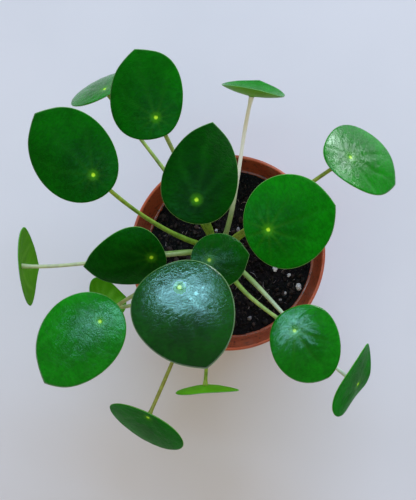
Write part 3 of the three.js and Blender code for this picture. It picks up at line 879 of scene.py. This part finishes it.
def make_soil(material):
    angles = round_angles(SOIL_SIDES)
    bottom = POT["base_thickness"] + 0.2
    edge = body_inner_radius(SOIL_TOP) + 0.1
    rings = [ring_at(angles, body_inner_radius(bottom) - 0.1, bottom),
             ring_at(angles, edge - 0.2, SOIL_TOP - 1.2)]
    for k in range(SOIL_RINGS):
        r = edge * (1 - k / SOIL_RINGS)
        z = soil_height(r * np.cos(angles), r * np.sin(angles))
        rings.append(ring_at(angles, r, z))
    centre = (0, 0, float(soil_height(0, 0)))
    verts, faces = skin(rings, (0, 0, bottom), centre)
    new_piece("soil", verts, faces, material, ("soil",))


class Heap:
    """Small shapes gathered in one piece on the soil, each with its own shade."""

    def __init__(self):
        self.verts, self.faces, self.shades = [], [], []

    def add(self, verts, faces, shade):
        base = len(self.verts)
        self.verts += verts
        self.faces += [tuple(base + i for i in face) for face in faces]
        self.shades += [shade] * len(verts)

    def make(self, name, material, smooth):
        piece = new_piece(name, self.verts, self.faces, material, smooth=smooth)
        set_attribute(piece, "shade", self.shades)


def lump(rng, centre, size, rough, detail):
    """An irregular crumb: a subdivided octahedron with its corners moved in and out."""
    verts = [np.array(p, float) for p in OCTAHEDRON]
    faces = OCTAHEDRON_FACES
    for _ in range(detail):
        middles = {}

        def middle(a, b):
            key = (min(a, b), max(a, b))
            if key not in middles:
                verts.append(unit(verts[a] + verts[b]))
                middles[key] = len(verts) - 1
            return middles[key]

        split = []
        for a, b, c in faces:
            ab, bc, ca = middle(a, b), middle(b, c), middle(c, a)
            split += [(a, ab, ca), (b, bc, ab), (c, ca, bc), (ab, bc, ca)]
        faces = split
    stretch = np.array([
        rng.uniform(0.7, 1.3), rng.uniform(0.7, 1.3), CRUMB_FLATNESS * rng.uniform(0.7, 1.2),
    ])
    turn = np.array(Euler([rng.uniform(0, TAU) for _ in range(3)]).to_matrix())
    out = []
    for p in verts:
        q = p * (1 + rng.uniform(-rough, rough)) * stretch * size
        out.append(turn @ q + centre)
    return out, faces


def scatter(name, material, count, size, seed, shade, rough=0.3, detail=1, places=None):
    """Crumbs strewn over the soil. Where places are given, they stand in for what was drawn."""
    rng = random.Random(seed)
    heap = Heap()
    limit = body_inner_radius(SOIL_TOP) - 1.2
    for number in range(count):
        while True:
            x, y = rng.uniform(-limit, limit), rng.uniform(-limit, limit)
            off_stem = math.hypot(x - STEM["x"], y - STEM["y"]) > BARE_RADIUS
            if math.hypot(x, y) < limit and off_stem:
                break
        s = size[0] + (size[1] - size[0]) * rng.random() ** 3
        tint = rng.uniform(*shade)
        if places:
            x, y, s, tint = places[number]
        z = float(soil_height(x, y)) + s * CRUMB_LIFT
        heap.add(*lump(rng, np.array([x, y, z]), s, rough, detail), tint)
    heap.make(name, material, smooth=False)


def make_fibres(material, count=260, seed=7):
    """Short peat fibres and root hairs lying on the soil."""
    rng = random.Random(seed)
    heap = Heap()
    limit = body_inner_radius(SOIL_TOP) - 5
    steps = 6
    for _ in range(count):
        r, a = limit * math.sqrt(rng.random()), rng.uniform(0, TAU)
        x, y = r * math.cos(a), r * math.sin(a)
        heading, bend = rng.uniform(0, TAU), rng.uniform(-0.35, 0.35)
        length, radius = rng.uniform(2, 6), rng.uniform(0.08, 0.17)
        rings = []
        for k in range(steps + 1):
            z = float(soil_height(x, y)) + 0.35 + 0.25 * math.sin(math.pi * k / steps)
            across = np.array([-math.sin(heading), math.cos(heading), 0])
            up = np.array([0, 0, 1.0])
            slim = radius * (1 - 0.6 * abs(2 * k / steps - 1))
            rings.append([
                np.array([x, y, z]) + slim * (math.cos(b) * across + math.sin(b) * up)
                for b in (0, TAU / 4, TAU / 2, 3 * TAU / 4)
            ])
            x += math.cos(heading) * length / steps
            y += math.sin(heading) * length / steps
            heading += bend
        fibre = skin(rings, np.mean(rings[0], 0), np.mean(rings[-1], 0))
        heap.add(*fibre, rng.choice((0.5, 1.0, 1.6, 2.0)))
    heap.make("soil_fibres", material, smooth=True)


# ---- Assembly ----------------------------------------------------------------------------------

PERLITE = [  # x, y, size, greyness
    (29.6, -10.2, 1.5, 0.0), (38, -14, 1.1, 0.35), (44, -21.3, 2.1, 0.0), (35.6, -25.5, 1.3, 0.5),
    (32.6, -29.5, 1.2, 0.7), (13.2, -41.3, 1.9, 0.9), (6, 15, 1.7, 0.75), (-8, 14.7, 1.3, 0.5),
]

blades = {sheen: blade_material(sheen) for sheen in SHEENS}
stalk = stalk_material()
for number, leaf in enumerate(LEAVES, 1):
    make_blade(leaf, f"leaf_{number:02d}_blade", blades[leaf["sheen"]])
    make_stalk(leaf, f"leaf_{number:02d}_stalk", stalk)
make_stem(stem_material())
make_pot(pot_material())
make_soil(soil_material())
crumb = crumb_material()
scatter("soil_crumbs", crumb, 1500, (0.35, 1.9), 3, (0.0, 0.5))
scatter("soil_bark", crumb, 60, (1.2, 2.6), 4, (0.3, 1.0), rough=0.2)
scatter("perlite", perlite_material(), len(PERLITE), (1, 2), 5, (0, 0.4), rough=0.16, detail=2,
        places=PERLITE)
make_fibres(crumb)

# ---- Stage, light and camera, in metres --------------------------------------------------------

FLOOR_RADIUS = 12.0
FLOOR_SIDES = 96
LAMPS_AIM_AT = Vector((0, 0, 0.15))


def look_at(position, target, top):
    """Place and rotation of a camera or lamp at position that looks at target."""
    ahead = (target - position).normalized()
    right = ahead.cross(top).normalized()
    up = right.cross(ahead)
    matrix = Matrix((right, up, -ahead)).transposed().to_4x4()
    matrix.translation = position
    return matrix


def add_area(name, position, size, energy, colour, kind, top=Vector((0, 0, 1))):
    """A lamp aimed at the plant. It either lights matt surfaces ("soft") or is the bright thing
    that shiny ones mirror ("shine")."""
    lamp = bpy.data.lights.new(name, "AREA")
    lamp.shape = "RECTANGLE"
    lamp.size, lamp.size_y = size
    lamp.energy = energy
    lamp.color = colour
    lit = new_object(name, lamp)
    lit.matrix_world = look_at(position, LAMPS_AIM_AT, top)
    lit.visible_camera = False
    lit.visible_glossy = kind == "shine"
    lit.visible_diffuse = kind == "soft"


floor_angles = [TAU * i / FLOOR_SIDES for i in range(FLOOR_SIDES)]
floor_mesh = bpy.data.meshes.new("floor")
floor_mesh.from_pydata(
    [(FLOOR_RADIUS * math.cos(a), FLOOR_RADIUS * math.sin(a), 0) for a in floor_angles],
    [], [tuple(range(FLOOR_SIDES))])
floor_mesh.materials.append(floor_material())
floor = new_object("floor", floor_mesh)

add_area("daylight", Vector((0.58, 2.4, 1.8)), (3.2, 0.9), 107, (0.47, 0.68, 1.02), "soft")
add_area("pane_above", Vector((-0.13, 0.12, 1.7)), (1.5, 0.25), 17.5, (0.36, 0.80, 1.0), "shine",
         Vector((0, 1, 0)))
add_area("pane_right", Vector((1.03, 1.27, 0.60)), (0.36, 0.5), 17, (0.85, 0.96, 1.0), "shine")
add_area("pane_left", Vector((-0.69, 1.22, 1.04)), (0.35, 0.3), 1.6, (0.6, 0.95, 1.0), "shine")

# the room's own light, what shiny surfaces mirror of it, and what the camera sees of it
world = bpy.data.worlds.new("room")
sky = Nodes(world)
ray = sky.add("ShaderNodeLightPath")
room = sky.mix(ray.outputs["Is Glossy Ray"], (0.63, 0.54, 0.45), (0.03, 0.035, 0.04))
room = sky.mix(ray.outputs["Is Camera Ray"], room, (0.60, 0.63, 0.70))
sky.put(sky.tree.nodes["Background"].inputs["Color"], room)
bpy.context.scene.world = world

camera_data = bpy.data.cameras.new("camera")
camera_data.lens = CAMERA_LENS
camera_data.clip_start = 0.01
camera = new_object("camera", camera_data)
camera.matrix_world = look_at(CAMERA_AT, CAMERA_LOOKS_AT, CAMERA_TOP)
bpy.context.scene.camera = camera
bpy.context.scene.view_settings.view_transform = "Standard"
